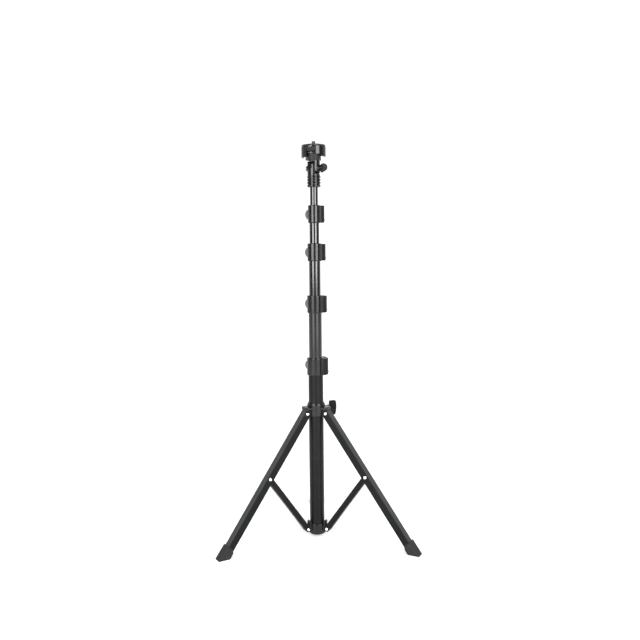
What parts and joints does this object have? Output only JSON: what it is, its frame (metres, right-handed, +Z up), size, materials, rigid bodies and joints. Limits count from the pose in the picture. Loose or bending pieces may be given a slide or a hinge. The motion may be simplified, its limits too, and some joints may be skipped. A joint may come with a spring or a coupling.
{
  "type": "extending tripod stand",
  "caption": "Extending black tripod stand: telescoping column with flip locks, folding riveted channel legs and a tilting round head with a camera screw.",
  "frame": {"origin": "on the floor, on the column's axis, in the plane of the three feet", "axes": "+Z up along the column; +Y towards the rear leg; +X to the side of the lock levers and the tilt knob"},
  "size_m": [0.3328, 0.2885, 0.6694],
  "materials": {
    "tube_black": "gloss",
    "tube_satin": "satin",
    "leg_paint": "satin",
    "black_plastic": "fine grain",
    "lever_plastic": "fine grain",
    "nut_plastic": "satin",
    "bush_plastic": "smooth",
    "rivet_steel": "bright zinc",
    "dark_steel": "blackened",
    "foot_rubber": "matt",
    "pad_rubber": "matt, ribbed"
  },
  "bodies": {
    "base": {"main_tube": "tube_satin", "tube_plug": "black_plastic", "lower_collar": "black_plastic", "lower_rivets": "rivet_steel", "lock_1_collar": "black_plastic", "lock_1_bolt": "dark_steel", "lock_1_lever_pin": "dark_steel"},
    "second_section": {"second_tube": "tube_black", "second_tube_bush": "bush_plastic", "lock_2_collar": "black_plastic", "lock_2_bolt": "dark_steel", "lock_2_lever_pin": "dark_steel"},
    "third_section": {"third_tube": "tube_black", "third_tube_bush": "bush_plastic", "lock_3_collar": "black_plastic", "lock_3_bolt": "dark_steel", "lock_3_lever_pin": "dark_steel"},
    "fourth_section": {"fourth_tube": "tube_black", "fourth_tube_bush": "bush_plastic", "lock_4_collar": "black_plastic", "lock_4_bolt": "dark_steel", "lock_4_lever_pin": "dark_steel"},
    "top_section": {"top_tube": "tube_black", "top_tube_bush": "bush_plastic", "head_sleeve": "black_plastic", "tilt_bolt": "dark_steel"},
    "lock_1_lever": {"lock_1_lever": "lever_plastic"},
    "lock_1_nut": {"lock_1_adjuster_nut": "nut_plastic"},
    "lock_2_lever": {"lock_2_lever": "lever_plastic"},
    "lock_2_nut": {"lock_2_adjuster_nut": "nut_plastic"},
    "lock_3_lever": {"lock_3_lever": "lever_plastic"},
    "lock_3_nut": {"lock_3_adjuster_nut": "nut_plastic"},
    "lock_4_lever": {"lock_4_lever": "lever_plastic"},
    "lock_4_nut": {"lock_4_adjuster_nut": "nut_plastic"},
    "left_brace": {"left_brace": "leg_paint"},
    "left_leg": {"left_leg": "leg_paint", "left_foot": "foot_rubber", "left_leg_rivet": "rivet_steel"},
    "right_brace": {"right_brace": "leg_paint"},
    "right_leg": {"right_leg": "leg_paint", "right_foot": "foot_rubber", "right_leg_rivet": "rivet_steel"},
    "rear_brace": {"rear_brace": "leg_paint"},
    "rear_leg": {"rear_leg": "leg_paint", "rear_foot": "foot_rubber", "rear_leg_rivet": "rivet_steel"},
    "hub": {"hub": "black_plastic", "hub_rivets": "rivet_steel"},
    "hub_knob": {"hub_knob": "black_plastic", "hub_knob_stud": "dark_steel"},
    "tilt_knob": {"tilt_knob": "black_plastic"},
    "tilt_head": {"tilt_neck": "black_plastic", "platform": "black_plastic", "platform_pad": "pad_rubber"},
    "thumb_wheel": {"thumb_wheel": "black_plastic", "camera_stud": "dark_steel"}
  },
  "joints": [
    {"name": "second_section_slide", "type": "slide", "parent": "base", "child": "second_section", "axis": [0, 0, 1], "range_m": [-0.075, 0.158]},
    {"name": "third_section_slide", "type": "slide", "parent": "second_section", "child": "third_section", "axis": [0, 0, 1], "range_m": [-0.0565, 0.189]},
    {"name": "fourth_section_slide", "type": "slide", "parent": "third_section", "child": "fourth_section", "axis": [0, 0, 1], "range_m": [-0.033, 0.223]},
    {"name": "top_section_slide", "type": "slide", "parent": "fourth_section", "child": "top_section", "axis": [0, 0, 1], "range_m": [-0.029, 0.238]},
    {"name": "lock_1_lever_hinge", "type": "hinge", "parent": "base", "child": "lock_1_lever", "pos_m": [0.01331, 0.0175, 0.29575], "axis": [0, 0, 1], "range_deg": [0, 110]},
    {"name": "lock_1_nut_turn", "type": "hinge", "parent": "base", "child": "lock_1_nut", "pos_m": [0, 0.0175, 0.29575], "axis": [1, 0, 0], "continuous": true},
    {"name": "lock_2_lever_hinge", "type": "hinge", "parent": "second_section", "child": "lock_2_lever", "pos_m": [0.01238, 0.016, 0.40075], "axis": [0, 0, 1], "range_deg": [0, 110]},
    {"name": "lock_2_nut_turn", "type": "hinge", "parent": "second_section", "child": "lock_2_nut", "pos_m": [0, 0.016, 0.40075], "axis": [1, 0, 0], "continuous": true},
    {"name": "lock_3_lever_hinge", "type": "hinge", "parent": "third_section", "child": "lock_3_lever", "pos_m": [0.01145, 0.0145, 0.48725], "axis": [0, 0, 1], "range_deg": [0, 110]},
    {"name": "lock_3_nut_turn", "type": "hinge", "parent": "third_section", "child": "lock_3_nut", "pos_m": [0, 0.0145, 0.48725], "axis": [1, 0, 0], "continuous": true},
    {"name": "lock_4_lever_hinge", "type": "hinge", "parent": "fourth_section", "child": "lock_4_lever", "pos_m": [0.01052, 0.013, 0.55025], "axis": [0, 0, 1], "range_deg": [0, 110]},
    {"name": "lock_4_nut_turn", "type": "hinge", "parent": "fourth_section", "child": "lock_4_nut", "pos_m": [0, 0.013, 0.55025], "axis": [1, 0, 0], "continuous": true},
    {"name": "left_brace_fold", "type": "hinge", "parent": "base", "child": "left_brace", "pos_m": [-0.01793, -0.01035, 0.0172], "axis": [-0.5, 0.866, 0], "range_deg": [0, 31]},
    {"name": "left_leg_fold", "type": "hinge", "parent": "left_brace", "child": "left_leg", "pos_m": [-0.08074, -0.04662, 0.11703], "axis": [-0.5, 0.866, 0], "range_deg": [-62, 0]},
    {"name": "right_brace_fold", "type": "hinge", "parent": "base", "child": "right_brace", "pos_m": [0.01793, -0.01035, 0.0172], "axis": [-0.5, -0.866, 0], "range_deg": [0, 31]},
    {"name": "right_leg_fold", "type": "hinge", "parent": "right_brace", "child": "right_leg", "pos_m": [0.08074, -0.04662, 0.11703], "axis": [-0.5, -0.866, 0], "range_deg": [-62, 0]},
    {"name": "rear_brace_fold", "type": "hinge", "parent": "base", "child": "rear_brace", "pos_m": [0, 0.0207, 0.0172], "axis": [1, 0, 0], "range_deg": [0, 31]},
    {"name": "rear_leg_fold", "type": "hinge", "parent": "rear_brace", "child": "rear_leg", "pos_m": [0, 0.09323, 0.11703], "axis": [1, 0, 0], "range_deg": [-62, 0]},
    {"name": "hub_fold", "type": "hinge", "parent": "left_leg", "child": "hub", "pos_m": [-0.01793, -0.01035, 0.21687], "axis": [-0.5, 0.866, 0], "range_deg": [0, 31]},
    {"name": "hub_knob_turn", "type": "hinge", "parent": "hub", "child": "hub_knob", "pos_m": [0.02598, 0.015, 0.221], "axis": [0.866, 0.5, 0], "continuous": true},
    {"name": "head_tilt", "type": "hinge", "parent": "top_section", "child": "tilt_head", "pos_m": [0, 0, 0.6254], "axis": [0.8829, -0.4695, 0], "range_deg": [-90, 90]},
    {"name": "tilt_knob_turn", "type": "hinge", "parent": "top_section", "child": "tilt_knob", "pos_m": [0.01589, -0.00845, 0.6254], "axis": [0.8829, -0.4695, 0], "continuous": true},
    {"name": "thumb_wheel_turn", "type": "hinge", "parent": "tilt_head", "child": "thumb_wheel", "pos_m": [0, 0, 0.6499], "axis": [0, 0, 1], "continuous": true}
  ],
  "couplings": [
    {"joint": "left_leg_fold", "follows": "left_brace_fold", "ratio": -2},
    {"joint": "right_brace_fold", "follows": "left_brace_fold", "ratio": 1},
    {"joint": "right_leg_fold", "follows": "left_brace_fold", "ratio": -2},
    {"joint": "rear_brace_fold", "follows": "left_brace_fold", "ratio": 1},
    {"joint": "rear_leg_fold", "follows": "left_brace_fold", "ratio": -2},
    {"joint": "hub_fold", "follows": "left_brace_fold", "ratio": 1}
  ]
}
